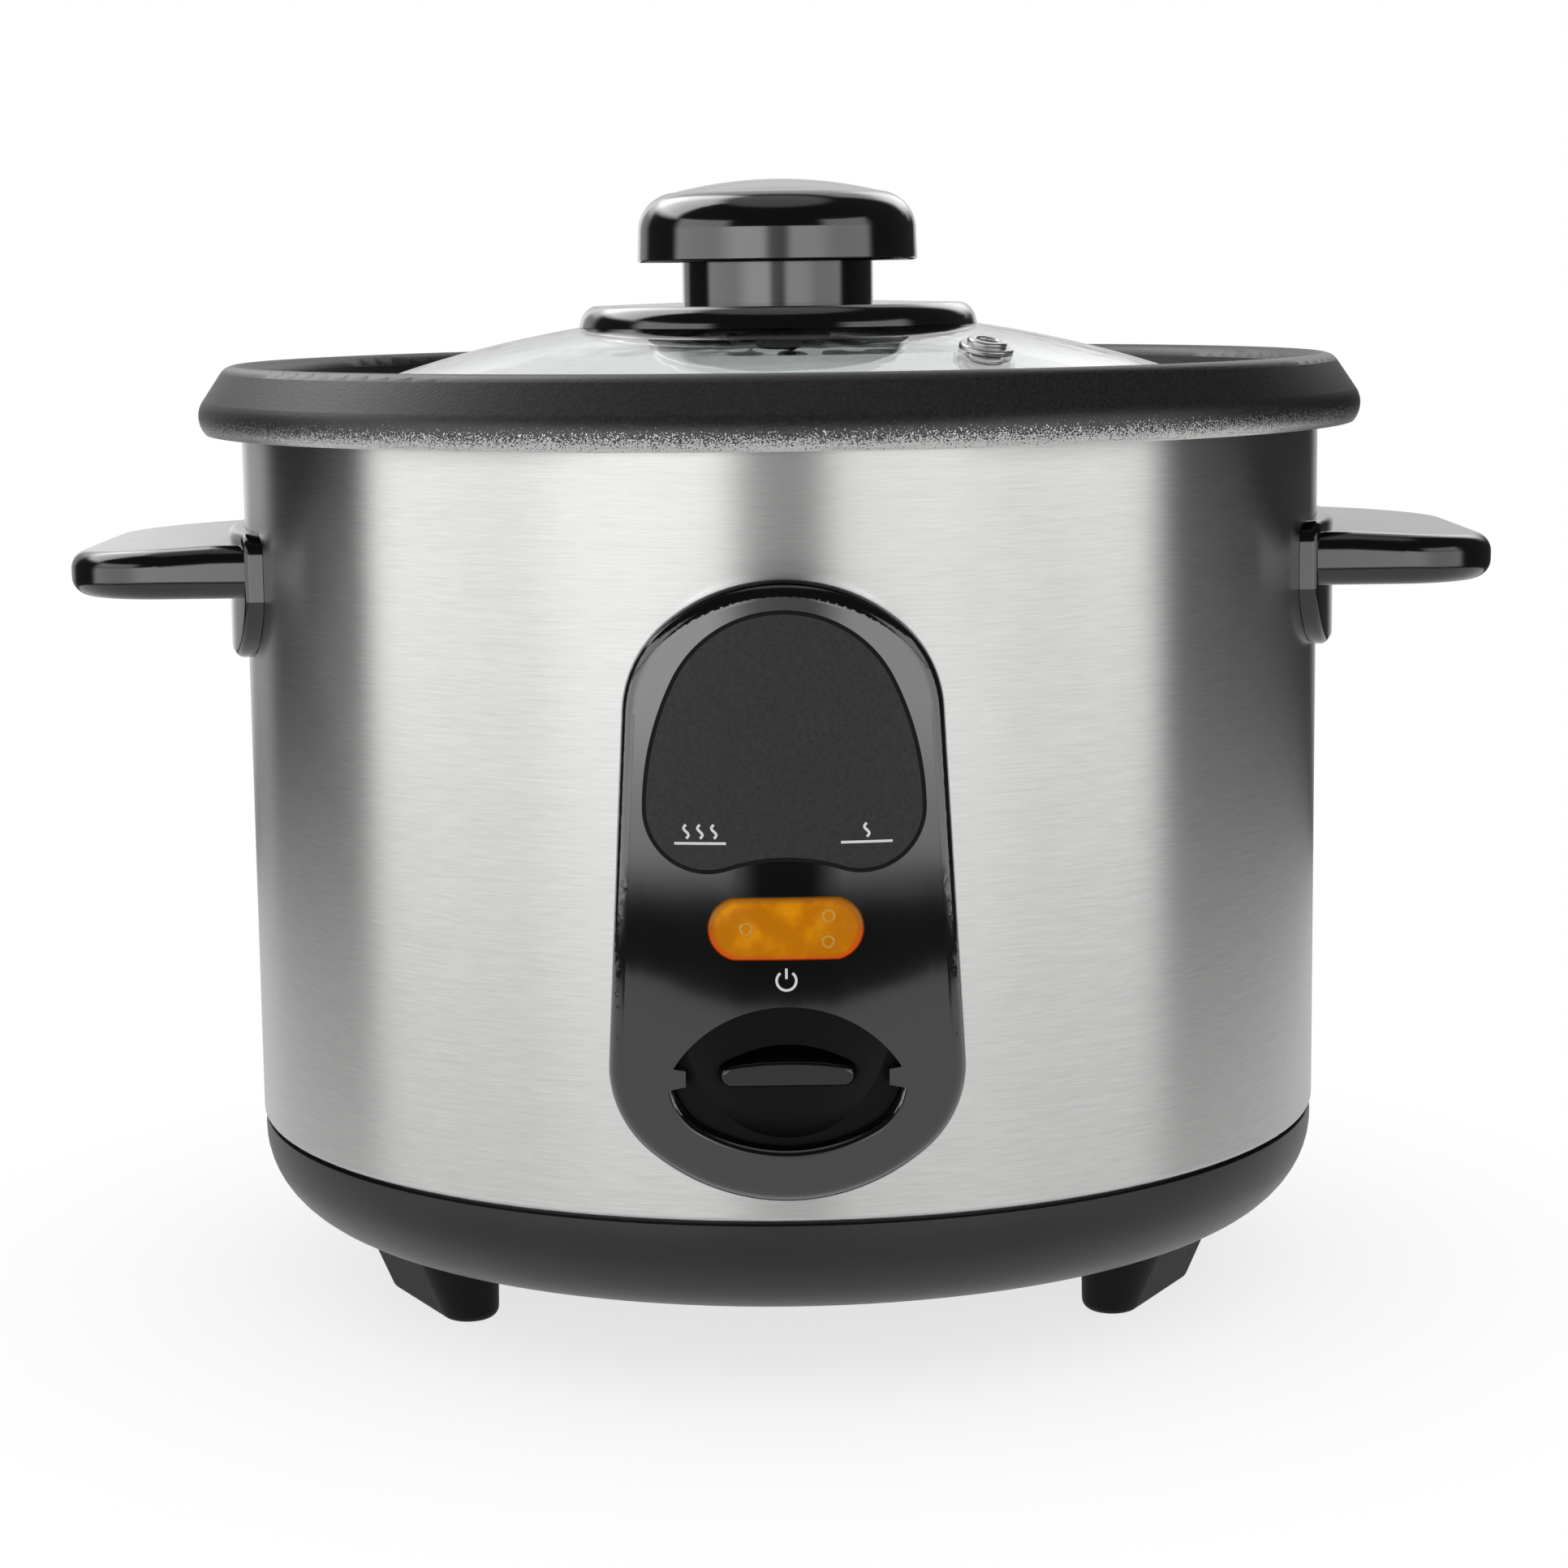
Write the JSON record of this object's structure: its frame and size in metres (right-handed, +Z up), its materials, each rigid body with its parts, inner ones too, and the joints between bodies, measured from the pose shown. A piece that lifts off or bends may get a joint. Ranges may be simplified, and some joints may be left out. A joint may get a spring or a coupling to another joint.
{
  "type": "rice cooker",
  "caption": "Drum rice cooker: brushed steel body on a black footed base, side handles, front panel with lens and press-down switch, lift-out pot and glass lid with knob.",
  "frame": {"origin": "on the floor under the middle of the drum, at the centre of the bottom of the bounding box", "axes": "+Z up, +X from the left handle to the right handle, the front panel faces -Y"},
  "size_m": [0.26, 0.2156, 0.2043],
  "materials": {
    "brushed_steel": "horizontally brushed",
    "liner_sheet": "plain rolled sheet",
    "black_satin": "satin moulded",
    "black_gloss": "glossy moulded",
    "insert_matt": "fine matt grain",
    "amber": "clear amber tint",
    "lamp_glass": "small glass lamp",
    "white_plastic": "plain moulded",
    "cast_aluminium": "cast and turned",
    "pot_coating": "dark non-stick coating on drawn sheet",
    "steel": "zinc plated",
    "vent_chrome": "bright plated",
    "brass": "stamped",
    "ceramic": "unglazed",
    "ferrite": "sintered",
    "silicone": "soft",
    "wire": "sleeved",
    "lid_glass": "clear tempered"
  },
  "bodies": {
    "housing": {"outer_shell": "brushed_steel", "inner_liner": "liner_sheet", "base": "black_satin", "feet": "black_satin", "left_handle": "black_satin", "right_handle": "black_satin", "handle_screws": "steel", "control_panel": "black_gloss", "panel_insert": "insert_matt", "panel_screws": "steel", "indicator_lens": "amber", "lamp_holder": "white_plastic", "cook_lamp": "lamp_glass", "warm_lamp": "lamp_glass", "heating_plate": "cast_aluminium", "heating_element": "steel", "element_terminals": "ceramic", "plate_posts": "steel", "base_screws": "steel", "thermostat_cup": "steel", "lever_bracket": "steel", "lever_pin": "steel", "contact_block": "white_plastic", "fixed_contact": "brass", "thermal_fuse": "steel", "power_inlet": "black_satin", "inlet_pins": "brass", "leads": "wire"},
    "pot": {"inner_pot": "pot_coating"},
    "lid": {"lid_glass": "lid_glass", "steam_vent": "vent_chrome", "vent_seal": "silicone", "lid_knob": "black_gloss", "knob_collar": "black_gloss", "knob_washer": "silicone", "knob_screw": "steel"},
    "key": {"switch_key": "black_gloss"},
    "lever": {"switch_lever": "steel", "contact_pusher": "white_plastic"},
    "contact": {"moving_contact": "brass"},
    "magnet": {"magnet": "ferrite", "magnet_rod": "steel"},
    "sensor": {"sensor_cap": "cast_aluminium", "ferrite": "ferrite", "sensor_spring": "steel"}
  },
  "joints": [
    {"name": "pot_lift", "type": "slide", "parent": "housing", "child": "pot", "axis": [0, 0, 1], "range_m": [0, 0.14]},
    {"name": "lid_lift", "type": "slide", "parent": "pot", "child": "lid", "axis": [0, 0, 1], "range_m": [0, 0.12]},
    {"name": "switch_press", "type": "slide", "parent": "housing", "child": "key", "axis": [0, 0, -1], "range_m": [0, 0.0056], "stiffness_N_per_m": 80, "springref_m": -0.03},
    {"name": "lever_rock", "type": "hinge", "parent": "housing", "child": "lever", "pos_m": [0, -0.046, 0.025], "axis": [1, 0, 0], "range_deg": [0, 6.85]},
    {"name": "magnet_rise", "type": "slide", "parent": "housing", "child": "magnet", "axis": [0, 0, 1], "range_m": [0, 0.0055]},
    {"name": "contact_close", "type": "hinge", "parent": "housing", "child": "contact", "pos_m": [0.042, -0.008, 0.0312], "axis": [0, 1, 0], "range_deg": [0, 9.5]},
    {"name": "sensor_rise", "type": "slide", "parent": "housing", "child": "sensor", "axis": [0, 0, 1], "range_m": [0, 0.003], "deforming": ["sensor_spring"]}
  ],
  "couplings": [
    {"joint": "lever_rock", "follows": "switch_press", "rad_per_m": 21.186},
    {"joint": "magnet_rise", "follows": "switch_press", "ratio": 0.97458},
    {"joint": "contact_close", "follows": "switch_press", "rad_per_m": 29.276},
    {"joint": "sensor_rise", "follows": "pot_lift", "ratio": 0.0214}
  ]
}
